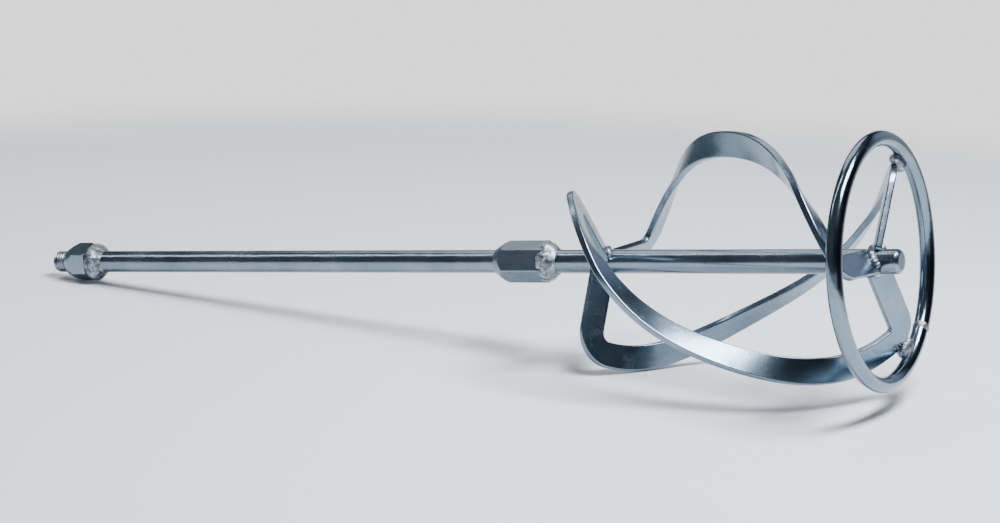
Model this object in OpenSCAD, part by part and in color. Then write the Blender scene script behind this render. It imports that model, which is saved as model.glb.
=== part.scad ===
// Mixing paddle for mortar: a two-piece round shaft with a threaded drive end,
// a hexagon coupling, three twisted flat-bar blades and a round-wire guard ring.
// Millimetres. +X runs from the drive end to the guard ring, +Z is up when the
// paddle lies down, and the origin is the centre of the drive stud's shoulder.

/* [Shaft] */
// diameter of both round bars
rod_d = 14; // [12:0.5:18]
// outside diameter of the drive thread (M14)
stud_d = 14; // [12:0.5:16]
// length of the drive thread standing out of the shoulder
stud_len = 12; // [10:1:30]
// free tip of the lower bar, measured from the shoulder
shaft_tip_x = 586; // [480:1:640]

/* [Drive collar] */
// width across flats of the collar hexagon
collar_af = 22; // [18:1:27]
// length of the turned cone in front of the hexagon
collar_cone = 7; // [3:0.5:10]
// length of the whole collar
collar_len = 18; // [12:1:30]

/* [Coupling] */
// start of the coupling, measured from the shoulder
coupling_x = 329.5; // [250:0.5:400]
// length of the hexagon coupling
coupling_len = 34.5; // [30:0.5:60]
// width across flats of the coupling
coupling_af = 22; // [18:1:27]
// length of the turned cone at the coupling's mouth
coupling_cone = 7.5; // [3:0.5:10]
// turn of the coupling's hexagon about the shaft
coupling_turn = -13; // [-30:1:30]
// how far the threaded end reaches into the coupling
thread_len = 20; // [15:1:30]
// radial clearance between thread and coupling
thread_gap = 0.05; // [0.02:0.01:0.1]

/* [Blades] */
// width of the flat bar
bar_w = 15; // [10:0.5:20]
// thickness of the flat bar
bar_t = 4; // [3:0.5:6]
// where the upper arms meet the shaft
arm_top_x = 403.5; // [380:0.5:420]
// where the lower arms meet the shaft
arm_foot_x = 570; // [560:0.5:580]
// start and end of the twisted leg along the shaft
leg_x0 = 406.5; // [400:0.5:420]
leg_x1 = 568; // [550:0.5:575]
// radius of the leg's centre line at the start, at the end and the bulge between
leg_r0 = 54.8; // [45:0.1:60]
leg_r1 = 54.2; // [45:0.1:60]
leg_bulge = 12.5; // [0:0.5:20]
// angle round the shaft of the first leg's start, from +Z towards -Y
leg_a0 = 46.5; // [0:0.5:90]
// twist of the leg from start to end
leg_twist = 157.5; // [90:0.5:200]
// rate of twist at the two ends, degrees per millimetre
end_rate = 1.85; // [0.5:0.05:2.5]
// centre-line radius of the upper and the lower corner bend
bend_top = 12.5; // [9:0.5:20]
bend_foot = 9; // [8:0.5:20]

/* [Blades as set by hand in the weld jig] */
// second blade: shift of its leg and of its upper arm along the shaft
b_leg = -1; // [-5:0.5:5]
b_arm = -3; // [-5:0.5:5]
// second blade: extra turn round the shaft and missing twist
b_turn = -2.5; // [-10:0.5:10]
b_less = 2; // [-5:0.5:10]
// third blade: shift of its leg and of its upper arm along the shaft
c_leg = 1; // [-5:0.5:5]
c_arm = -0.5; // [-5:0.5:5]
// third blade: extra turn round the shaft and missing twist
c_turn = -6.5; // [-10:0.5:10]
c_less = 1.5; // [-5:0.5:10]

/* [Guard ring] */
// diameter of the ring's wire
wire_d = 9; // [6:0.5:12]
// outside diameter of the ring
ring_od = 144.5; // [120:0.5:170]
// position of the ring along the shaft
ring_x = 575; // [560:1:600]
// angle of the ring's butt weld, from +Z towards -Y
seam_a = 226; // [0:1:360]

/* [Hidden] */
$fn = 96;
rod_r = rod_d / 2;
ring_r = (ring_od - wire_d) / 2;
bore_r = rod_r + thread_gap;
coupling_end = coupling_x + coupling_len;
thread_x0 = coupling_x + 1.4;
steps = 56;

zinc = [0.72, 0.74, 0.77];
bare = [0.62, 0.63, 0.66];
weld = [0.50, 0.51, 0.53];

// ---- helpers -------------------------------------------------------------
function unit(v) = v / norm(v);
function polar(x, r, a) = [x, -r * sin(a), r * cos(a)];
function outward(a) = [0, -sin(a), cos(a)];
function along(a) = [0, -cos(a), -sin(a)];

// a solid of revolution about X from [x, r] points
module turned(points) {
    rotate([0, 90, 0]) rotate_extrude() polygon([for (p = points) [p[1], p[0]]]);
}

// hexagon bar along X with flats af apart
module hex_bar(x0, x1, af) {
    translate([x0, 0, 0]) rotate([0, 90, 0])
        cylinder(r = af / 2 / cos(30), h = x1 - x0, $fn = 6);
}

// skin over rings of equal length, closed at both ends
module skin(rings) {
    m = len(rings[0]);
    n = len(rings);
    polyhedron(
        points = [for (r = rings) for (p = r) p],
        faces = concat(
            [[for (i = [0 : m - 1]) i]],
            [for (j = [0 : n - 2]) for (i = [0 : m - 1]) [j * m + i, (j + 1) * m + i, (j + 1) * m + (i + 1) % m]],
            [for (j = [0 : n - 2]) for (i = [0 : m - 1]) [j * m + i, (j + 1) * m + (i + 1) % m, j * m + (i + 1) % m]],
            [[for (i = [m - 1 : -1 : 0]) (n - 1) * m + i]]));
}

// ---- blade path ----------------------------------------------------------
// blade data: [x0, x1, start angle, twist, top arm x, foot arm x]
function blade_data(k) = let (
        leg = [0, b_leg, c_leg][k], arm = [0, b_arm, c_arm][k],
        turn = [0, b_turn, c_turn][k], less = [0, b_less, c_less][k])
    [leg_x0 + leg, leg_x1, leg_a0 + 120 * k + turn, leg_twist - less, arm_top_x + arm, arm_foot_x];

function leg_angle(d, u) = let (s = end_rate * (d[1] - d[0]))
    d[2] + s * (u * u * u - 2 * u * u + u) + d[3] * (3 * u * u - 2 * u * u * u)
    + s * (u * u * u - u * u);
function leg_point(d, u) =
    polar(d[0] + (d[1] - d[0]) * u,
          leg_r0 + (leg_r1 - leg_r0) * u + 4 * leg_bulge * u * (1 - u), leg_angle(d, u));
function leg_dir(d, u) = unit(leg_point(d, u + 0.002) - leg_point(d, u - 0.002));

// corner bend and straight arm from leg end p, heading t, to the shaft axis at h
function arm(p, t, h, rb, nb = 9, na = 5) =
    let (v = h - p, n = unit(v - (v * t) * t), x = v * t, y = v * n - rb,
         far = norm([x, y]), raw = atan2(y, x) - acos(rb / far),
         end = raw < -90 ? raw + 360 : raw,
         e = p + rb * cos(end) * t + rb * (1 + sin(end)) * n,
         w = cos(end) * t + sin(end) * n, run = norm(h - e) - 4.5)
    concat(
        [for (i = [0 : nb]) let (a = -90 + (end + 90) * i / nb)
            [p + rb * cos(a) * t + rb * (1 + sin(a)) * n, cos(a) * t + sin(a) * n]],
        [for (i = [1 : na]) [e + unit(h - e) * run * i / na, w]]);

function reversed(v) = [for (i = [len(v) - 1 : -1 : 0]) v[i]];

// stations [centre, width direction] from the top arm's foot to the lower arm's foot
function stations(k) =
    let (d = blade_data(k),
         top = arm(leg_point(d, 0), -leg_dir(d, 0), [d[4], 0, 0], bend_top),
         foot = arm(leg_point(d, 1), leg_dir(d, 1), [d[5], 0, 0], bend_foot),
         leg = [for (i = [1 : steps - 1])
             let (u = i / steps, t = leg_dir(d, u), o = outward(leg_angle(d, u)),
                  f0 = max(0, 1 - i / 9), f1 = max(0, 1 - (steps - i) / 9),
                  m = o * (1 - f0 - f1) + top[0][1] * f0 + foot[0][1] * f1)
             [leg_point(d, u), unit(m - (m * t) * t)]])
    concat(reversed(top), leg, foot);

// flat-bar section with broken edges, in width (a) and thickness (b)
function bar_section() = let (a = bar_w / 2, b = bar_t / 2, c = 0.7)
    [[a, b - c], [a - c, b], [c - a, b], [-a, b - c], [-a, c - b], [c - a, -b], [a - c, -b], [a, c - b]];

module blade(k) {
    st = stations(k);
    n = len(st);
    sec = bar_section();
    difference() {
        skin([for (i = [0 : n - 1])
            let (t = unit(st[min(i + 1, n - 1)][0] - st[max(i - 1, 0)][0]), w = st[i][1],
                 q = unit(cross(t, w)))
            [for (s = sec) st[i][0] + w * s[0] + q * s[1]]]);
        translate([arm_top_x - 40, 0, 0]) rotate([0, 90, 0]) cylinder(r = rod_r, h = 240);
    }
}

// ---- weld beads ----------------------------------------------------------
// lumpy bead through the points in path
module bead(path, r, up) {
    n = len(path);
    skin([for (i = [0 : n - 1])
        let (t = unit(path[min(i + 1, n - 1)] - path[max(i - 1, 0)]), a = unit(cross(t, up)),
             b = cross(t, a), e = min(i, n - 1 - i),
             rr = r * (e == 0 ? 0.45 : e == 1 ? 0.85 : 1 + 0.10 * cos(i * 180)))
        [for (j = [0 : 9]) path[i] + a * rr * cos(36 * j) + b * rr * sin(36 * j)]]);
}

// two beads along the faces of an arm's foot, wrapped on the shaft
module foot_beads(s, dir) {
    // angle of the arm round the shaft, and how its width leans from the axis
    a = atan2(-s[0][1], s[0][2]);
    lean = atan2(s[1] * along(a), s[1][0]);
    for (side = [-1, 1])
        bead([for (i = [0 : 8])
            let (q = (i / 4 - 1) * (bar_w / 2 - 2.8), e = side * (bar_t / 2 + 0.5),
                 y = q * sin(lean) + e * cos(lean), z = sqrt(max(1, rod_r * rod_r - y * y)) + 0.2)
            [s[0][0] + q * cos(lean) - e * sin(lean), 0, 0] + along(a) * y + outward(a) * z],
            2.1, outward(a));
}

// bead between the blade's outer edge and the inside of the ring
module ring_bead(k) {
    st = stations(k);
    n = len(st);
    edge = [for (i = [n - 16 : n - 1]) st[i][0] + st[i][1] * bar_w / 2];
    gap = [for (p = edge) norm([p[0] - ring_x, norm([p[1], p[2]]) - ring_r])];
    p = edge[search(min(gap), gap)[0]];
    a = atan2(-p[1], p[2]);
    r = (norm([p[1], p[2]]) + ring_r - wire_d / 2) / 2;
    x = (p[0] + ring_x) / 2;
    bead([for (i = [0 : 8]) polar(x, r, a + (i / 4 - 1) * 7)], 3.4, [1, 0, 0]);
}

// ---- sub-parts -----------------------------------------------------------
module drive_stud() {
    color(bare) turned([[-stud_len, 0], [-stud_len, stud_d / 2 - 1.4],
        [-stud_len + 1.4, stud_d / 2], [0, stud_d / 2], [0, 0]]);
}

module drive_collar() {
    color(bare) intersection() {
        hex_bar(0, collar_len, collar_af);
        turned([[0, 0], [0, stud_d / 2 + 2.2], [collar_cone, collar_af / 2 + 1.3],
            [collar_cone + 0.4, collar_af / 2 + 2], [collar_len, collar_af / 2 + 2],
            [collar_len, 0]]);
    }
}

module drive_weld() {
    color(weld) turned([[collar_len, 0], [collar_len, 11.0], [collar_len + 1.4, 12.1],
        [collar_len + 3.4, 12.2], [collar_len + 5.4, 11.0], [collar_len + 7.6, 9.2],
        [collar_len + 9.8, 7.6], [collar_len + 10.6, rod_r], [collar_len + 10.6, 0]]);
}

module upper_shaft() {
    x0 = collar_len + 10.6;
    color(zinc) turned([[x0, 0], [x0, rod_r], [thread_x0 - 1.1, rod_r],
        [thread_x0 - 0.3, rod_r - 0.8], [thread_x0 - 0.3, 0]]);
}

module upper_thread() {
    x1 = coupling_x + thread_len;
    color(bare) turned([[thread_x0, 0], [thread_x0, rod_r - 0.8], [thread_x0 + 0.8, rod_r],
        [x1 - 1.4, rod_r], [x1, rod_r - 1.4], [x1, 0]]);
}

module coupling() {
    color(zinc) difference() {
        intersection() {
            rotate([coupling_turn, 0, 0]) hex_bar(coupling_x, coupling_end, coupling_af);
            turned([[coupling_x, 0], [coupling_x, rod_r + 1.3],
                [coupling_x + coupling_cone, coupling_af / 2 + 1.8],
                [coupling_end, coupling_af / 2 + 1.8], [coupling_end, 0]]);
        }
        translate([coupling_x - 1, 0, 0]) rotate([0, 90, 0])
            cylinder(r = bore_r, h = coupling_len + 2);
        // countersunk mouth
        translate([coupling_x - 0.01, 0, 0]) rotate([0, 90, 0])
            cylinder(r1 = rod_r + 0.8, r2 = bore_r, h = 1.2);
    }
}

module coupling_weld() {
    x = coupling_end;
    color(weld) turned([[x, bore_r - 0.05], [x, 11.4], [x + 1.6, 11.6], [x + 3.2, 10.4],
        [x + 5.2, 8.6], [x + 6.8, 7.5], [x + 7.4, bore_r - 0.05]]);
}

module lower_shaft() {
    x0 = coupling_x + thread_len + 3;
    color(zinc) turned([[x0, 0], [x0, rod_r - 1], [x0 + 1, rod_r], [shaft_tip_x - 1.6, rod_r],
        [shaft_tip_x - 0.5, rod_r - 0.6], [shaft_tip_x, rod_r - 1.6], [shaft_tip_x, 0]]);
}

module blade_a() { color(zinc) blade(0); }
module blade_b() { color(zinc) blade(1); }
module blade_c() { color(zinc) blade(2); }

module top_weld_a() { color(weld) foot_beads(stations(0)[0]); }
module top_weld_b() { color(weld) foot_beads(stations(1)[0]); }
module top_weld_c() { color(weld) foot_beads(stations(2)[0]); }
module foot_weld_a() { color(weld) foot_beads(stations(0)[len(stations(0)) - 1]); }
module foot_weld_b() { color(weld) foot_beads(stations(1)[len(stations(1)) - 1]); }
module foot_weld_c() { color(weld) foot_beads(stations(2)[len(stations(2)) - 1]); }

module ring() {
    color(zinc) translate([ring_x, 0, 0]) rotate([0, 90, 0]) rotate_extrude()
        translate([ring_r, 0]) circle(d = wire_d);
}

// upset bead round the wire where the ring's ends are joined
module ring_seam() {
    color(weld) rotate([seam_a, 0, 0]) translate([ring_x, 0, ring_r]) rotate([90, 0, 0])
        rotate_extrude() polygon([[wire_d / 2 - 0.4, -1.9], [wire_d / 2 + 0.35, -1.1],
            [wire_d / 2 + 0.6, 0], [wire_d / 2 + 0.35, 1.1], [wire_d / 2 - 0.4, 1.9]]);
}

module ring_weld_a() { color(weld) ring_bead(0); }
module ring_weld_b() { color(weld) ring_bead(1); }
module ring_weld_c() { color(weld) ring_bead(2); }

drive_stud();
drive_collar();
drive_weld();
upper_shaft();
upper_thread();
coupling();
coupling_weld();
lower_shaft();
blade_a();
blade_b();
blade_c();
top_weld_a();
top_weld_b();
top_weld_c();
foot_weld_a();
foot_weld_b();
foot_weld_c();
ring();
ring_seam();
ring_weld_a();
ring_weld_b();
ring_weld_c();
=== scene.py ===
"""Mortar mixing paddle: zinc-plated steel, lying on a pale studio floor.

Every CAD piece is replaced by a finer one made here: rolled threads, turned and
hexagonal parts, flat-bar blades with rolled edges, lumpy weld beads and a
round-wire guard ring. Lengths in the code are millimetres unless a name says metres.
"""

import math

import bmesh
import bpy
import numpy as np
from mathutils import Matrix, Vector


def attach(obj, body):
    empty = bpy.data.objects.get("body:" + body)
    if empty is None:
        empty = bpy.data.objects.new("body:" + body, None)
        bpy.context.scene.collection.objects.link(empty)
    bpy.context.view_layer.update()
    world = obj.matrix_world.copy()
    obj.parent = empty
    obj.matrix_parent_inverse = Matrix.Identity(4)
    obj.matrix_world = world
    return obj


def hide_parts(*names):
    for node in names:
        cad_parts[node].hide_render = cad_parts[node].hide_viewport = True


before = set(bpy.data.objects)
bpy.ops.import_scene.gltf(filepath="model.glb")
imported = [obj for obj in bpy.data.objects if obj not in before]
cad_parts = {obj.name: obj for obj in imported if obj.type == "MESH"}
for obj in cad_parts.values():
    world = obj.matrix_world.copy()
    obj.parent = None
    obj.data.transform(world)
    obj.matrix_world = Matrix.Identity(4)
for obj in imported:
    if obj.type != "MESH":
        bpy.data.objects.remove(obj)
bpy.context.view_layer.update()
TAU = 2 * math.pi

# ---------------------------------------------------------------- dimensions
ROD_R = 7.0            # both bars are 14 mm round
PITCH = 2.0            # M14 x 2
HEX_AF = 22.0          # across flats, collar and coupling
COLLAR_LEN, COLLAR_CONE = 18.0, 7.0
COUPLING_X, COUPLING_LEN, COUPLING_CONE = 329.5, 34.5, 7.5
COUPLING_TURN = -13.0  # degrees the coupling's hexagon is turned about the shaft
STUD_LEN = 12.0
COUPLING_END = COUPLING_X + COUPLING_LEN
THREAD_X0, THREAD_X1 = COUPLING_X + 1.4, COUPLING_X + 20.0
TIP_X = 586.0
BAR_W, BAR_T = 15.0, 4.0
RING_X, RING_R, WIRE_R = 575.0, 67.75, 4.5
SEAM_A = 226.0         # place of the ring's butt weld, degrees about the shaft
LEG_R0, LEG_R1, LEG_BULGE = 54.8, 54.2, 12.5
END_RATE = 1.85
BEND_TOP, BEND_FOOT = 12.5, 9.0
LEG_X0, LEG_X1 = 406.5, 568.0      # where a blade's outer run starts and ends
LEG_A0, LEG_TWIST = 46.5, 157.5    # its first angle about the shaft, and how far it turns
ARM_TOP_X, ARM_FOOT_X = 403.5, 570.0
# how each blade differs, fitted to the photographed outlines: start of the outer run and
# top arm in mm, turn about the shaft and twist lost in degrees
DIFFERENCES = {"a": (0.0, 0.0, 0.0, 0.0), "b": (-1.0, -3.0, -2.5, 2.0), "c": (1.0, -0.5, -6.5, 1.5)}
# start, end, start angle, twist, top arm, foot arm
BLADES = {
    key: (LEG_X0 + start, LEG_X1, LEG_A0 + 120 * k + turned_by, LEG_TWIST - lost,
          ARM_TOP_X + top_arm, ARM_FOOT_X)
    for k, (key, (start, top_arm, turned_by, lost)) in enumerate(DIFFERENCES.items())
}


# ---------------------------------------------------------------- mesh tools
def unit(v):
    v = np.asarray(v, float)
    return v / np.linalg.norm(v)


def bumps(theta, x, seed, count=7, size=1.0):
    """Smooth unevenness on a round surface, from a few seeded waves."""
    r = np.random.default_rng(seed)
    out = np.zeros(np.broadcast(theta, x).shape)
    for _ in range(count):
        k = r.integers(1, 7)
        out = out + r.uniform(0.3, 1) * np.sin(k * theta + r.uniform(0.1, 0.7) * x / size
                                               + r.uniform(0, TAU))
    return out / count


def build(name, parts, node, body, material):
    """One object from grids of rings: parts is a list of (rings, ends), rings n x m x 3."""
    verts, faces = [], []
    for rings, ends in parts:
        rings = np.asarray(rings, float)
        n, m, _ = rings.shape
        base = len(verts)
        verts.extend(rings.reshape(-1, 3) * 0.001)
        for j in range(n - 1):
            for i in range(m):
                a, b = base + j * m + i, base + j * m + (i + 1) % m
                faces.append((a, b, b + m, a + m))
        if ends == "loop":
            for i in range(m):
                a, b = base + (n - 1) * m + i, base + (n - 1) * m + (i + 1) % m
                faces.append((a, b, base + (i + 1) % m, base + i))
        elif ends == "capped":
            for row, flip in ((0, True), (n - 1, False)):
                mid = len(verts)
                verts.append(rings[row].mean(0) * 0.001)
                for i in range(m):
                    a, b = base + row * m + i, base + row * m + (i + 1) % m
                    faces.append((b, a, mid) if flip else (a, b, mid))
    mesh = bpy.data.meshes.new(name)
    mesh.from_pydata([tuple(v) for v in verts], [], faces)
    mesh.polygons.foreach_set("use_smooth", [True] * len(mesh.polygons))
    mesh.update()
    bm = bmesh.new()
    bm.from_mesh(mesh)
    bmesh.ops.recalc_face_normals(bm, faces=bm.faces)
    bm.to_mesh(mesh)
    bm.free()
    obj = bpy.data.objects.new(name, mesh)
    bpy.context.collection.objects.link(obj)
    obj.data.materials.append(material)
    shade = obj.modifiers.new("weighted_normals", "WEIGHTED_NORMAL")
    shade.keep_sharp = True
    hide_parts(node)
    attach(obj, body)
    return obj


def rounded(points, rad=0.3, n=4):
    """Profile with its corners rounded."""
    pts = [np.array(p, float) for p in points]
    out = [pts[0]]
    for a, b, c in zip(pts, pts[1:], pts[2:]):
        r = min(rad, 0.45 * np.linalg.norm(a - b), 0.45 * np.linalg.norm(c - b))
        p, q = b + unit(a - b) * r, b + unit(c - b) * r
        for i in range(n + 1):
            f = i / n
            out.append(p * (1 - f) ** 2 + 2 * b * f * (1 - f) + q * f * f)
    return out + [pts[-1]]


def turned(profile, step=1.0, shape=None, rad=0.3, m=144):
    """Rings along a profile of (x, r) corners; shape(x, r, theta) may cut or lift them."""
    pts = rounded(profile, rad)
    th = np.linspace(0, TAU, m, endpoint=False)
    rings = []
    for a, b in zip(pts, pts[1:]):
        k = max(1, int(math.ceil(np.linalg.norm(b - a) / step)))
        for i in range(k):
            rings.append(a + (b - a) * i / k)
    rings.append(pts[-1])
    out = []
    for x, r in rings:
        rr = shape(x, r, th) if shape else np.full(m, r)
        out.append(np.stack([np.full(m, x), rr * np.cos(th), rr * np.sin(th)], 1))
    return np.array(out)


def soft_min(a, b, k):
    """Smaller of two radii with the edge between them broken over about k mm."""
    h = np.clip(0.5 + 0.5 * (b - a) / k, 0, 1)
    return b + (a - b) * h - k * h * (1 - h)


def hex_radius(th, af):
    """Hexagon with flats facing the sides and corners up and down."""
    w = (th + math.pi / 6) % (math.pi / 3) - math.pi / 6
    return af / 2 / np.cos(w)


# thread flanks: 60 degree form, flat crest, rounded root; right-handed
def thread_radius(x, th, major, depth=1.15):
    phase = (x / PITCH - th / TAU) % 1.0
    tri = np.abs(phase - 0.5) * 2
    shape = np.clip((tri - 0.12) / 0.72, 0, 1)
    shape = shape * shape * (3 - 2 * shape) * 0.45 + shape * 0.55
    return major - depth * shape


# ---------------------------------------------------------------- blade path
def polar(x, r, deg):
    a = math.radians(deg)
    return np.array([x, -r * math.sin(a), r * math.cos(a)])


def leg_angle(d, u):
    s = END_RATE * (d[1] - d[0])
    return (d[2] + s * (u ** 3 - 2 * u * u + u) + d[3] * (3 * u * u - 2 * u ** 3)
            + s * (u ** 3 - u * u))


def leg_point(d, u):
    r = LEG_R0 + (LEG_R1 - LEG_R0) * u + 4 * LEG_BULGE * u * (1 - u)
    return polar(d[0] + (d[1] - d[0]) * u, r, leg_angle(d, u))


def leg_dir(d, u):
    return unit(leg_point(d, u + 0.002) - leg_point(d, u - 0.002))


def arm(p, t, h, rb, nb=26, na=16):
    """Edgewise bend and straight arm from leg end p, heading t, to the axis at h."""
    v = h - p
    n = unit(v - (v @ t) * t)
    x, y = v @ t, v @ n - rb
    end = math.atan2(y, x) - math.acos(rb / math.hypot(x, y))
    if end < -math.pi / 2:
        end += TAU
    out = []
    for i in range(nb + 1):
        a = -math.pi / 2 + (end + math.pi / 2) * i / nb
        out.append((p + rb * math.cos(a) * t + rb * (1 + math.sin(a)) * n,
                    math.cos(a) * t + math.sin(a) * n))
    e, w = out[-1]
    run = np.linalg.norm(h - e) - 4.5
    for i in range(1, na + 1):
        out.append((e + unit(h - e) * run * i / na, w))
    return out


def blade_path(key, steps=150):
    """Stations (centre, width direction) from the top arm's foot to the lower arm's."""
    d = BLADES[key]
    top = arm(leg_point(d, 0), -leg_dir(d, 0), np.array([d[4], 0, 0]), BEND_TOP)
    foot = arm(leg_point(d, 1), leg_dir(d, 1), np.array([d[5], 0, 0]), BEND_FOOT)
    leg = []
    for i in range(1, steps):
        u = i / steps
        t = leg_dir(d, u)
        f0, f1 = max(0.0, 1 - u / 0.16), max(0.0, 1 - (1 - u) / 0.16)
        w = polar(0, 1, leg_angle(d, u)) * (1 - f0 - f1) + top[0][1] * f0 + foot[0][1] * f1
        leg.append((leg_point(d, u), unit(w - (w @ t) * t)))
    return top[::-1] + leg + foot


def bar_outline(w, t, r=0.9, n=5):
    """Flat-bar section with rolled edges, as (width, thickness) points."""
    pts = []
    for cx, cy, a0 in ((w / 2 - r, t / 2 - r, 0), (-w / 2 + r, t / 2 - r, 90),
                       (-w / 2 + r, -t / 2 + r, 180), (w / 2 - r, -t / 2 + r, 270)):
        for i in range(n + 1):
            a = math.radians(a0 + 90 * i / n)
            pts.append((cx + r * math.cos(a), cy + r * math.sin(a)))
        nx = (cx + r * math.cos(math.radians(a0 + 90)), cy + r * math.sin(math.radians(a0 + 90)))
        # points along the flat, so that small dents can show
        side = w - 2 * r if a0 % 180 == 0 else t - 2 * r
        turn = math.radians(a0 + 180)
        for f in ((0.2, 0.4, 0.6, 0.8) if a0 % 180 == 0 else (0.5,)):
            pts.append((nx[0] + side * f * math.cos(turn), nx[1] + side * f * math.sin(turn)))
    return pts


def sweep(centres, widths, sections):
    rings = []
    n = len(centres)
    for i in range(n):
        t = unit(centres[min(i + 1, n - 1)] - centres[max(i - 1, 0)])
        w = unit(widths[i] - (widths[i] @ t) * t)
        q = np.cross(t, w)
        rings.append([centres[i] + w * a + q * b for a, b in sections[i]])
    return np.array(rings)


def bead_rings(path, up, r, seed, ripple=0.06, wave=1.9, m=28):
    """Weld bead along path: crescent ripples, sagging sides and rounded ends."""
    path = np.asarray(path, float)
    gaps = np.linalg.norm(np.diff(path, axis=0), axis=1)
    s = np.concatenate([[0], np.cumsum(gaps)])
    total = s[-1]
    k = max(30, int(total / 0.22))
    si = np.linspace(0, total, k)
    pts = np.stack([np.interp(si, s, path[:, j]) for j in range(3)], 1)
    gen = np.random.default_rng(seed)
    wob = np.interp(si, np.linspace(0, total, 9), gen.uniform(-1, 1, 9))
    rings = []
    for i in range(k):
        t = unit(pts[min(i + 1, k - 1)] - pts[max(i - 1, 0)])
        a = unit(np.cross(t, up))
        b = np.cross(t, a)
        edge = min(si[i], total - si[i])
        end = math.sqrt(max(0.02, 1 - max(0, 1 - edge / (0.9 * r)) ** 2))
        th = np.linspace(0, TAU, m, endpoint=False)
        lag = 0.9 * np.abs(np.cos(th))
        rr = r * end * (1 + ripple * np.cos(TAU * (si[i] + lag) / wave) + 0.09 * wob[i]
                        + 0.14 * bumps(th, si[i], seed + 3, 10, 1.5))
        rings.append(pts[i] + np.outer(np.cos(th) * rr, a) + np.outer(np.sin(th) * rr, b))
    return np.array(rings)


# ---------------------------------------------------------------- materials
def hex_colour(text):
    """sRGB hex to linear colour."""
    c = [int(text[i:i + 2], 16) / 255 for i in (1, 3, 5)]
    return tuple(v / 12.92 if v <= 0.04045 else ((v + 0.055) / 1.055) ** 2.4 for v in c) + (1,)


def add(tree, kind, inputs=None, **settings):
    """Adds a node; inputs maps a socket name or index to a value or another socket."""
    node = tree.nodes.new(kind)
    for key, value in settings.items():
        setattr(node, key, value)
    for key, value in (inputs or {}).items():
        if isinstance(value, bpy.types.NodeSocket):
            tree.links.new(value, node.inputs[key])
        else:
            node.inputs[key].default_value = value
    return node


def ramp(tree, fac, stops, mode="LINEAR"):
    node = add(tree, "ShaderNodeValToRGB", {0: fac})
    node.color_ramp.interpolation = mode
    el = node.color_ramp.elements
    while len(el) < len(stops):
        el.new(0.5)
    for e, (pos, value) in zip(el, stops):
        e.position = pos
        e.color = value if isinstance(value, tuple) else (value, value, value, 1)
    return node.outputs[0]


def mix(tree, fac, a, b, how="MIX"):
    node = add(tree, "ShaderNodeMix", {0: fac, 6: a, 7: b}, data_type="RGBA", blend_type=how)
    return node.outputs[2]


def noise(tree, vector, scale, detail=3.0, rough=0.55, distortion=0.0):
    return add(tree, "ShaderNodeTexNoise", {"Vector": vector, "Scale": scale, "Detail": detail,
                                            "Roughness": rough, "Distortion": distortion}).outputs[0]


def shader(name):
    mat = bpy.data.materials.new(name)
    mat.use_nodes = True
    tree = mat.node_tree
    bsdf = tree.nodes["Principled BSDF"]
    where = add(tree, "ShaderNodeTexCoord").outputs["Object"]
    return mat, tree, bsdf, where


def stretched(tree, where, sx, sy, sz):
    return add(tree, "ShaderNodeMapping", {"Vector": where, "Scale": (sx, sy, sz)}).outputs[0]


def zinc_plate(name, light="#84929f", dark="#6e7c8a", rough=(0.17, 0.28), lengthwise=True):
    """Bright zinc plating on drawn steel: blue-grey, softly cloudy, with handling scuffs."""
    mat, t, bsdf, where = shader(name)
    cloud = noise(t, where, 26.0, 4.0, 0.6, 0.4)            # patches about 40 mm across
    fine = noise(t, where, 420.0, 3.0, 0.6)                 # crystals about 2 mm across
    tone = ramp(t, cloud, [(0.32, hex_colour(dark)), (0.68, hex_colour(light))])
    tone = mix(t, 0.12, tone, ramp(t, fine, [(0.3, 0.45), (0.7, 1.0)]), "MULTIPLY")
    # drawing lines along the bar, 0.3 mm apart
    s = stretched(t, where, 14.0, 1500.0, 1500.0) if lengthwise else stretched(t, where, 700, 700, 700)
    lines = noise(t, s, 1.0, 2.0, 0.5)
    # scuffs from handling: short, thin, bright
    scuff = noise(t, stretched(t, where, 90.0, 900.0, 620.0), 1.0, 2.0, 0.7, 1.5)
    scuff = ramp(t, scuff, [(0.60, 0.0), (0.66, 1.0), (0.70, 0.0)])
    tone = mix(t, 0.12, tone, mix(t, scuff, tone, hex_colour("#e8edf0")))
    # dull mortar-grey haze in patches
    haze = ramp(t, noise(t, where, 60.0, 5.0, 0.65, 0.8), [(0.55, 0.0), (0.75, 1.0)])
    tone = mix(t, add(t, "ShaderNodeMath", {0: haze, 1: 0.10}, operation="MULTIPLY").outputs[0],
               tone, hex_colour("#7d8287"))
    r = add(t, "ShaderNodeMapRange", {0: cloud, 1: 0.3, 2: 0.7, 3: rough[0], 4: rough[1]}).outputs[0]
    r = add(t, "ShaderNodeMath", {0: haze, 1: 0.08, 2: r}, operation="MULTIPLY_ADD").outputs[0]
    b1 = add(t, "ShaderNodeBump", {"Strength": 0.10, "Distance": 0.00006, "Height": lines})
    b2 = add(t, "ShaderNodeBump", {"Strength": 0.25, "Distance": 0.00012, "Height": fine,
                                   "Normal": b1.outputs[0]})
    b3 = add(t, "ShaderNodeBump", {"Strength": 0.5, "Distance": 0.0006,
                                   "Height": noise(t, where, 70.0, 1.0, 0.4),
                                   "Normal": b2.outputs[0]})
    t.links.new(tone, bsdf.inputs["Base Color"])
    t.links.new(r, bsdf.inputs["Roughness"])
    t.links.new(b3.outputs[0], bsdf.inputs["Normal"])
    bsdf.inputs["Metallic"].default_value = 1.0
    return mat


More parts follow.
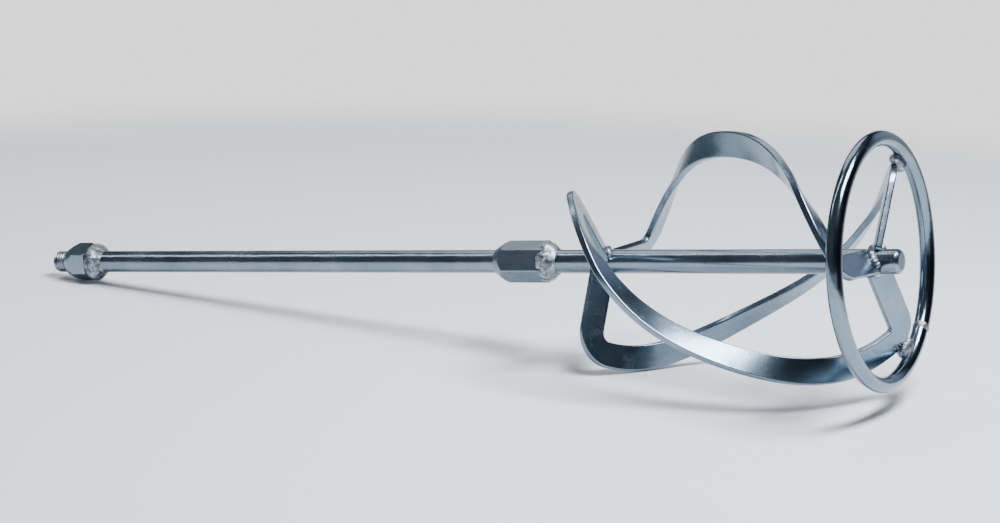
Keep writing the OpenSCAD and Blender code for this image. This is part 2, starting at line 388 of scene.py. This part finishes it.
def turned_steel(name):
    """Machined and plated: fine tool rings 0.4 mm apart, painted shade darkening the hollows."""
    mat, t, bsdf, where = shader(name)
    rings = add(t, "ShaderNodeTexWave", {"Vector": where, "Scale": 800.0, "Distortion": 1.2,
                                         "Detail": 1.0, "Detail Scale": 0.4},
                wave_type="BANDS", bands_direction="X").outputs[1]
    blot = noise(t, where, 120.0, 5.0, 0.65, 0.6)
    tone = ramp(t, blot, [(0.30, hex_colour("#6f7780")), (0.62, hex_colour("#bcc5cc"))])
    # painted shade: the colour is darkened where pointiness finds a hollow, such as thread roots and
    # tool marks
    concavity = add(t, "ShaderNodeNewGeometry").outputs["Pointiness"]
    painted_hollow_shade = ramp(t, concavity, [(0.44, 1.0), (0.50, 0.0)])
    tone = mix(t, add(t, "ShaderNodeMath", {0: painted_hollow_shade, 1: 0.75}, operation="MULTIPLY").outputs[0],
               tone, hex_colour("#3a3d40"))
    r = add(t, "ShaderNodeMapRange", {0: blot, 1: 0.3, 2: 0.7, 3: 0.22, 4: 0.42}).outputs[0]
    b1 = add(t, "ShaderNodeBump", {"Strength": 0.25, "Distance": 0.00004, "Height": rings})
    b2 = add(t, "ShaderNodeBump", {"Strength": 0.4, "Distance": 0.0002, "Height": blot,
                                   "Normal": b1.outputs[0]})
    t.links.new(tone, bsdf.inputs["Base Color"])
    t.links.new(r, bsdf.inputs["Roughness"])
    t.links.new(b2.outputs[0], bsdf.inputs["Normal"])
    bsdf.inputs["Metallic"].default_value = 1.0
    return mat


def weld_metal(name):
    """As-welded bead under the plating: rough, grey, with pits and a few bright grains."""
    mat, t, bsdf, where = shader(name)
    grain = noise(t, where, 900.0, 4.0, 0.7, 0.4)
    blot = noise(t, where, 210.0, 4.0, 0.6, 0.8)
    tone = ramp(t, blot, [(0.34, hex_colour("#4b4f55")), (0.50, hex_colour("#8a9199")),
                          (0.66, hex_colour("#c4ccd1"))])
    pits = add(t, "ShaderNodeTexVoronoi", {"Vector": where, "Scale": 620.0}).outputs[0]
    pits = ramp(t, pits, [(0.10, 1.0), (0.24, 0.0)])
    tone = mix(t, add(t, "ShaderNodeMath", {0: pits, 1: 0.7}, operation="MULTIPLY").outputs[0],
               tone, hex_colour("#2e2f31"))
    r = add(t, "ShaderNodeMapRange", {0: grain, 1: 0.3, 2: 0.7, 3: 0.26, 4: 0.55}).outputs[0]
    b1 = add(t, "ShaderNodeBump", {"Strength": 0.6, "Distance": 0.00025, "Height": grain})
    b2 = add(t, "ShaderNodeBump", {"Strength": 0.8, "Distance": 0.0005, "Height": blot,
                                   "Normal": b1.outputs[0]})
    t.links.new(tone, bsdf.inputs["Base Color"])
    t.links.new(r, bsdf.inputs["Roughness"])
    t.links.new(b2.outputs[0], bsdf.inputs["Normal"])
    bsdf.inputs["Metallic"].default_value = 1.0
    return mat


bar_steel = zinc_plate("zinc_plated_round_bar")
strip_steel = zinc_plate("zinc_plated_flat_bar", "#7f909d", "#6b7d8c", (0.20, 0.28), False)
wire_steel = zinc_plate("zinc_plated_wire", "#7e8f9b", "#687a88", (0.10, 0.19), False)
hexagon_steel = zinc_plate("zinc_plated_hexagon", "#8d9ba7", "#748391", (0.24, 0.34))
machined = turned_steel("machined_steel")
bead_metal = weld_metal("weld_bead")


# ---------------------------------------------------------------- drive end
def stud_shape(x, r, th):
    if r < 5.2:
        return np.full(th.shape, r)
    fade = min(1.0, max(0.0, (-1.2 - x) / 0.6))
    worm = thread_radius(x, th, ROD_R) * fade + 5.95 * (1 - fade)
    return soft_min(np.full(th.shape, r), worm, 0.15)


build("drive_stud_m14", [(turned(
    [(-STUD_LEN, 0.05), (-STUD_LEN, ROD_R - 1.3), (1.3 - STUD_LEN, ROD_R), (0.4, ROD_R), (0.4, 0.05)],
    0.11, stud_shape, 0.15, 120), "capped")], "drive_stud", "drive_half", machined)


def hex_shape(x, r, th):
    if r < 7.9:
        return np.full(th.shape, r)
    return soft_min(np.full(th.shape, r), hex_radius(th, HEX_AF), 0.35)


collar = build("drive_collar_hexagon", [(turned(
    [(0, 0.05), (0, ROD_R + 2.2), (COLLAR_CONE, HEX_AF / 2 + 1.3),
     (COLLAR_CONE + 0.6, HEX_AF / 2 + 1.9), (COLLAR_LEN, HEX_AF / 2 + 1.9), (COLLAR_LEN, 0.05)],
    0.35, hex_shape, 0.35, 240), "capped")], "drive_collar", "drive_half", hexagon_steel)


def ring_of_weld(profile, seed, ripples, lift=0.12):
    """Weld run right round the shaft: overlapping scales and uneven width."""
    def shape(x, r, th):
        if r < ROD_R - 0.4:
            return np.full(th.shape, r)
        over = np.clip((r - ROD_R) / 2.5, 0, 1)
        lag = 2.2 * bumps(th, x, seed + 50, 7, 6.0) + 0.55 * x
        scale = np.abs(np.sin((ripples * th + lag) / 2)) ** 0.7
        lumps = 0.85 * bumps(th, x, seed, 12, 3.0) + 0.45 * bumps(3 * th, x, seed + 9, 12, 1.6)
        return r + over * (lift * (scale - 0.6) + lumps)
    return turned(profile, 0.3, shape, 0.5, 220)


x = COLLAR_LEN
build("drive_weld_run", [(ring_of_weld(
    [(x - 0.2, 0.05), (x - 0.2, 10.6), (x + 1.4, 12.0), (x + 3.4, 12.1), (x + 5.4, 10.9),
     (x + 7.6, 9.1), (x + 9.8, 7.5), (x + 10.6, ROD_R - 0.1), (x + 10.6, 0.05)], 5, 19), "capped")],
    "drive_weld", "drive_half", bead_metal)

# ---------------------------------------------------------------- shafts


def drawn(seed):
    """Cold-drawn bar: round within a few hundredths."""
    return lambda x, r, th: r + 0.03 * bumps(th, x, seed, 6, 60.0) * (r > 6)


build("upper_shaft_bar", [(turned(
    [(COLLAR_LEN + 8, 0.05), (COLLAR_LEN + 8, ROD_R), (THREAD_X0 - 1.1, ROD_R),
     (THREAD_X0 - 0.3, ROD_R - 0.8), (THREAD_X0 - 0.3, 0.05)], 2.5, drawn(3), 0.3, 96), "capped")],
    "upper_shaft", "drive_half", bar_steel)


def thread_end_shape(x, r, th):
    if r < 5.2:
        return np.full(th.shape, r)
    return soft_min(np.full(th.shape, r), thread_radius(x, th, ROD_R), 0.15)


build("upper_shaft_thread", [(turned(
    [(THREAD_X0, 0.05), (THREAD_X0, ROD_R - 0.9), (THREAD_X0 + 0.9, ROD_R),
     (THREAD_X1 - 1.4, ROD_R), (THREAD_X1, ROD_R - 1.4), (THREAD_X1, 0.05)],
    0.11, thread_end_shape, 0.15, 120), "capped")], "upper_thread", "thread_end", machined)


def saw_cut(x, r, th):
    """Tip of the lower bar: cropped, lightly ground, a little out of square."""
    near = max(0.0, (x - TIP_X + 3) / 3)
    return r * (1 + 0.012 * near * bumps(th, x, 21, 6, 3.0)) + 0.03 * bumps(th, x, 4, 6, 60.0) * (r > 6)


build("lower_shaft_bar", [(turned(
    [(THREAD_X1 + 3, 0.05), (THREAD_X1 + 3, ROD_R - 1), (THREAD_X1 + 4, ROD_R),
     (TIP_X - 1.8, ROD_R), (TIP_X, ROD_R - 1.5), (TIP_X, 0.05)], 1.8, saw_cut, 0.7, 96), "capped")],
    "lower_shaft", "basket", bar_steel)


# ---------------------------------------------------------------- coupling
def coupling_shape(x, r, th):
    if r < 8.0:
        return np.full(th.shape, r)
    flats = hex_radius(th - math.radians(COUPLING_TURN), HEX_AF)
    return soft_min(np.full(th.shape, r), flats, 0.35)


bore = ROD_R + 0.05
build("coupling_hexagon", [(turned(
    [(COUPLING_X + 12, bore), (COUPLING_X + 1.2, bore), (COUPLING_X, bore + 0.75),
     (COUPLING_X, ROD_R + 1.3), (COUPLING_X + COUPLING_CONE, HEX_AF / 2 + 1.8),
     (COUPLING_END, HEX_AF / 2 + 1.8), (COUPLING_END, bore), (COUPLING_X + 12.5, bore)],
    0.5, coupling_shape, 0.3, 240), "loop")], "coupling", "basket", hexagon_steel)

x = COUPLING_END
build("coupling_weld_run", [(ring_of_weld(
    [(x - 4.5, 0.05), (x - 4.5, 9.5), (x - 3.2, 11.6), (x - 0.5, 12.0), (x + 1.6, 11.4),
     (x + 3.2, 10.2), (x + 5.2, 8.5), (x + 6.8, 7.4), (x + 7.4, ROD_R - 0.1), (x + 7.4, 0.05)],
    9, 23, 0.14), "capped")], "coupling_weld", "basket", bead_metal)


# ---------------------------------------------------------------- blades
def blade_rings(key):
    path = blade_path(key)
    centres = [p for p, _ in path]
    widths = [w for _, w in path]
    gen = np.random.default_rng(ord(key))
    wave = np.interp(np.arange(len(path)), np.linspace(0, len(path), 14), gen.uniform(-1, 1, 14))
    sections = [bar_outline(BAR_W + 0.12 * wave[i], BAR_T) for i in range(len(path))]
    return sweep(centres, widths, sections)


for key in BLADES:
    build("blade_%s_flat_bar" % key, [(blade_rings(key), "capped")], "blade_" + key, "basket",
          strip_steel)


# ---------------------------------------------------------------- welds
def foot_beads(station, seed):
    """Two beads along the faces of an arm's foot, wrapped on the shaft."""
    c, w = station
    a = math.atan2(-c[1], c[2])
    side_dir = np.array([0, -math.cos(a), -math.sin(a)])
    out = np.array([0, -math.sin(a), math.cos(a)])
    lean = math.atan2(w @ side_dir, w[0])
    parts = []
    for side in (-1, 1):
        path = []
        for i in range(13):
            q = (i / 6 - 1) * (BAR_W / 2 - 2.6)
            e = side * (BAR_T / 2 + 0.5)
            y = q * math.sin(lean) + e * math.cos(lean)
            z = math.sqrt(max(1.0, ROD_R ** 2 - y * y)) + 0.2
            path.append(np.array([c[0] + q * math.cos(lean) - e * math.sin(lean), 0, 0])
                        + side_dir * y + out * z)
        parts.append((bead_rings(path, out, 2.15, seed + side), "capped"))
    return parts


def ring_bead(key, seed):
    """Bead between the blade's outer edge and the inside of the ring."""
    edge = [p + w * BAR_W / 2 for p, w in blade_path(key)[-52:]]
    gap = [math.hypot(p[0] - RING_X, math.hypot(p[1], p[2]) - RING_R) for p in edge]
    p = edge[int(np.argmin(gap))]
    a = math.degrees(math.atan2(-p[1], p[2]))
    r = (math.hypot(p[1], p[2]) + RING_R - WIRE_R) / 2
    path = [polar((p[0] + RING_X) / 2, r, a + (i / 6 - 1) * 7.0) for i in range(13)]
    return [(bead_rings(path, np.array([1.0, 0, 0]), 3.3, seed), "capped")]


for k, key in enumerate(BLADES):
    path = blade_path(key)
    build("top_weld_%s_beads" % key, foot_beads(path[0], 40 + k), "top_weld_" + key, "basket",
          bead_metal)
    build("foot_weld_%s_beads" % key, foot_beads(path[-1], 60 + k), "foot_weld_" + key, "basket",
          bead_metal)
    build("ring_weld_%s_bead" % key, ring_bead(key, 80 + k), "ring_weld_" + key, "basket",
          bead_metal)

# ---------------------------------------------------------------- guard ring


def wire_rings(n=300, m=40):
    rings = []
    th = np.linspace(0, TAU, m, endpoint=False)
    for i in range(n):
        deg = 360.0 * i / n
        off = ((deg - SEAM_A + 180) % 360 - 180)
        step = 0.25 * math.tanh(off / 1.5) * math.exp(-abs(off) / 25)   # ends meet a little askew
        wob = 0.25 * math.sin(2 * math.radians(deg) + 0.8) + 0.12 * math.sin(5 * math.radians(deg))
        c = polar(RING_X + 0.3 * math.sin(math.radians(deg) * 2 + 2), RING_R + wob + step, deg)
        o = polar(0, 1, deg)
        rings.append(c + np.outer(np.cos(th) * WIRE_R, o)
                     + np.outer(np.sin(th) * WIRE_R, np.array([1.0, 0, 0])))
    return np.array(rings)


build("guard_ring_wire", [(wire_rings(), "loop")], "ring", "basket", wire_steel)


def seam_rings(m=60, n=26):
    """Upset bead where the ring's two ends are butt-welded."""
    rings = []
    th = np.linspace(0, TAU, m, endpoint=False)
    for i in range(n):
        s = (i / (n - 1) - 0.5) * 4.4
        lift = 0.42 * math.exp(-(s / 1.15) ** 2) - 0.12
        deg = SEAM_A + math.degrees(s / RING_R)
        r = WIRE_R + lift + 0.18 * bumps(th, s, 33, 7, 1.5)
        rings.append(polar(RING_X, RING_R, deg) + np.outer(np.cos(th) * r, polar(0, 1, deg))
                     + np.outer(np.sin(th) * r, np.array([1.0, 0, 0])))
    return np.array(rings)


build("guard_ring_butt_weld", [(seam_rings(), "capped")], "ring_seam", "basket", bead_metal)

# ---------------------------------------------------------------- studio
# floor laid to touch the collar and the second blade's corner; not a settled pose
SLOPE = 0.1295
TOUCH_X, TOUCH_Z = 7.3, -12.9      # lowest corner of the collar
floor_mesh = bpy.data.meshes.new("studio_floor")
edge = [(2.6 * math.cos(TAU * i / 96), 2.6 * math.sin(TAU * i / 96), 0) for i in range(96)]
floor_mesh.from_pydata(edge, [], [tuple(range(96))])
floor = bpy.data.objects.new("studio_floor", floor_mesh)
bpy.context.collection.objects.link(floor)
floor.location = (0.29, 0, (TOUCH_Z - (290 - TOUCH_X) * SLOPE) * 0.001)
floor.rotation_euler = (0, math.atan(SLOPE), 0)
mat, t, bsdf, where = shader("pale_studio_floor")
paper = noise(t, where, 900.0, 3.0, 0.6)
t.links.new(ramp(t, paper, [(0.3, hex_colour("#f4f5f6")), (0.7, hex_colour("#fafbfc"))]),
            bsdf.inputs["Base Color"])
bsdf.inputs["Roughness"].default_value = 0.8
far = add(t, "ShaderNodeVectorMath", {0: where}, operation="LENGTH").outputs["Value"]
t.links.new(ramp(t, far, [(0.70, 1.0), (1.0, 0.0)], "EASE"), bsdf.inputs["Alpha"])
floor_mesh.materials.append(mat)

world = bpy.data.worlds.new("studio")
bpy.context.scene.world = world
world.use_nodes = True
wt = world.node_tree
background = wt.nodes["Background"]
look = add(wt, "ShaderNodeTexCoord").outputs["Generated"]


def toward(az, el):
    a, e = math.radians(az), math.radians(el)
    return (math.cos(e) * math.cos(a), math.cos(e) * math.sin(a), math.sin(e))


def lobe(below, az, el, inner, outer, colour):
    """Soft patch of the studio seen in one direction, fading from inner to outer degrees."""
    d = add(wt, "ShaderNodeVectorMath", {0: look, 1: toward(az, el)},
            operation="DOT_PRODUCT").outputs["Value"]
    f = add(wt, "ShaderNodeMapRange", {0: d, 1: math.cos(math.radians(outer)),
                                       2: math.cos(math.radians(inner)), 3: 0.0, 4: 1.0},
            interpolation_type="SMOOTHSTEP").outputs[0]
    return mix(wt, f, below, colour)


def grey(level, tint="#ffffff"):
    return tuple(level * v for v in hex_colour(tint)[:3]) + (1,)


sky = lobe(grey(0.07, "#c4d2e4"), 0, 90, 20, 60, grey(0.22, "#d6e2ee"))     # ceiling
sky = lobe(sky, -121, 12, 15, 60, grey(0.20, "#d2dae8"))                    # photographer's side
sky = lobe(sky, 160, 6, 10, 42, grey(0.36, "#b4d0dc"))                      # left wall
sky = lobe(sky, 78, 12, 6, 24, grey(0.85, "#ccd6f2"))                       # reflector behind
# grey floor level of the room below the horizon, white sweep behind the paddle
side = add(wt, "ShaderNodeSeparateXYZ", {0: look})
low = add(wt, "ShaderNodeMapRange", {0: side.outputs[2], 1: 0.01, 2: -0.05, 3: 0.0, 4: 1.0},
          interpolation_type="SMOOTHSTEP").outputs[0]
sky = mix(wt, low, sky, grey(0.60))
sky = lobe(sky, 5, 2, 20, 52, grey(0.045, "#b9b4cc"))                       # dark room end
sky = lobe(sky, 121, -12, 19, 34, grey(1.62))
wt.links.new(sky, background.inputs["Color"])
background.inputs["Strength"].default_value = 1.0


def softbox(name, az, el, distance, aim, size, power, tint="#ffffff"):
    data = bpy.data.lights.new(name, "AREA")
    data.shape = "RECTANGLE"
    data.size, data.size_y = size
    data.energy = power
    data.color = hex_colour(tint)[:3]
    lamp = bpy.data.objects.new(name, data)
    bpy.context.collection.objects.link(lamp)
    spot = Vector(aim) + Vector(toward(az, el)) * distance
    lamp.location = spot
    lamp.rotation_euler = (Vector(aim) - spot).to_track_quat("-Z", "Y").to_euler()
    return lamp


softbox("overhead_softbox", -8, 60, 1.3, (0.48, 0, 0), (0.85, 0.40), 42, "#f4f8ff")
softbox("left_overhead_strip", -163, 58, 1.4, (0.30, 0, 0), (0.06, 1.1), 4, "#f0f6ff")
softbox("rear_fill", 120, 58, 2.0, (0.30, 0, 0), (1.4, 1.4), 11)

# ---------------------------------------------------------------- camera
# photographed from beyond the ring end, a little above the paddle
CAMERA_UP, CAMERA_SIDE = 0.17633, 0.98433    # unit heading from the shaft to the camera
CAMERA_X, CAMERA_AWAY = 1.1115, 1.3218       # metres along the shaft, and out from it
near = Vector((0.0, -CAMERA_SIDE, CAMERA_UP))
spot = Vector((CAMERA_X, 0, 0)) + near * CAMERA_AWAY
turn = math.radians(30.6)
forward = (Vector((-math.sin(turn), 0, 0)) - near * math.cos(turn)).normalized()
up = Vector((0.0, CAMERA_UP, CAMERA_SIDE))
right = forward.cross(up).normalized()
up = right.cross(forward).normalized()
data = bpy.data.cameras.new("camera")
data.sensor_width = 36.0
data.lens = 92.2
data.clip_start, data.clip_end = 0.05, 50.0
camera = bpy.data.objects.new("camera", data)
bpy.context.collection.objects.link(camera)
camera.matrix_world = Matrix((
    (right.x, up.x, -forward.x, spot.x), (right.y, up.y, -forward.y, spot.y),
    (right.z, up.z, -forward.z, spot.z), (0, 0, 0, 1)))
bpy.context.scene.camera = camera
